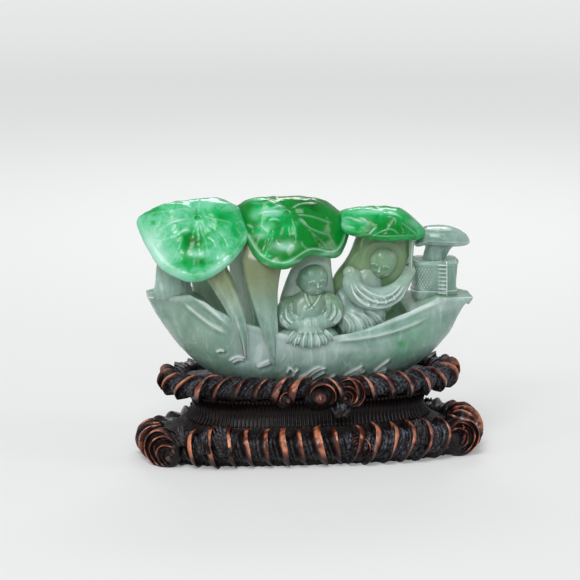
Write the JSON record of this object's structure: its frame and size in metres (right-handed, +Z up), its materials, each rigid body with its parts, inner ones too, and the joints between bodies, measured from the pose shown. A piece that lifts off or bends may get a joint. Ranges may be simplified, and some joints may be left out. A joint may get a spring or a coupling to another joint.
{
  "type": "jade boat carving on a stand",
  "caption": "Polished jade carving of boys in a boat under lotus leaves, with a basket and a fungus at the stern, resting in a carved hardwood wave stand.",
  "frame": {"origin": "on the table, under the middle of the stand", "axes": "+X from the bow to the stern, along the boat; -Y out of the front; +Z up"},
  "size_m": [0.085, 0.04, 0.0623],
  "materials": {
    "hardwood": "dark waxed hardwood, crests rubbed to reddish brown, recesses near black",
    "pale_jade": "polished translucent grey green stone",
    "leaf_jade": "polished translucent stone, mottled pale mint to emerald"
  },
  "bodies": {
    "stand": {"stand_base_block": "hardwood", "stand_base_wave_rim": "hardwood", "stand_waist": "hardwood", "stand_seat_block": "hardwood", "stand_top_wave_rim": "hardwood", "stand_front_scroll": "hardwood", "stand_bow_scroll": "hardwood", "stand_stern_scroll": "hardwood"},
    "carving": {"boat_hull": "pale_jade", "bow_post": "pale_jade", "lotus_stem_left": "pale_jade", "lotus_stem_thin": "pale_jade", "lotus_stem_centre": "pale_jade", "lotus_stem_rear_left": "pale_jade", "lotus_stem_rear_centre": "pale_jade", "front_boy_head": "pale_jade", "front_boy_robe": "pale_jade", "front_boy_right_sleeve": "pale_jade", "front_boy_left_sleeve": "pale_jade", "front_boy_lap": "pale_jade", "rear_boy_head": "pale_jade", "rear_boy_robe": "pale_jade", "rear_boy_sleeve": "pale_jade", "rear_boy_knee": "pale_jade", "held_leaf_stem": "pale_jade", "stern_basket": "pale_jade", "fungus_stalk": "pale_jade", "fungus_cap": "pale_jade", "lotus_leaf_left": "leaf_jade", "lotus_leaf_centre": "leaf_jade", "lotus_leaf_right": "leaf_jade"}
  },
  "joints": [
    {"name": "carving_lift", "type": "slide", "parent": "stand", "child": "carving", "axis": [0, 0, 1], "range_m": [0, 0.03]}
  ]
}
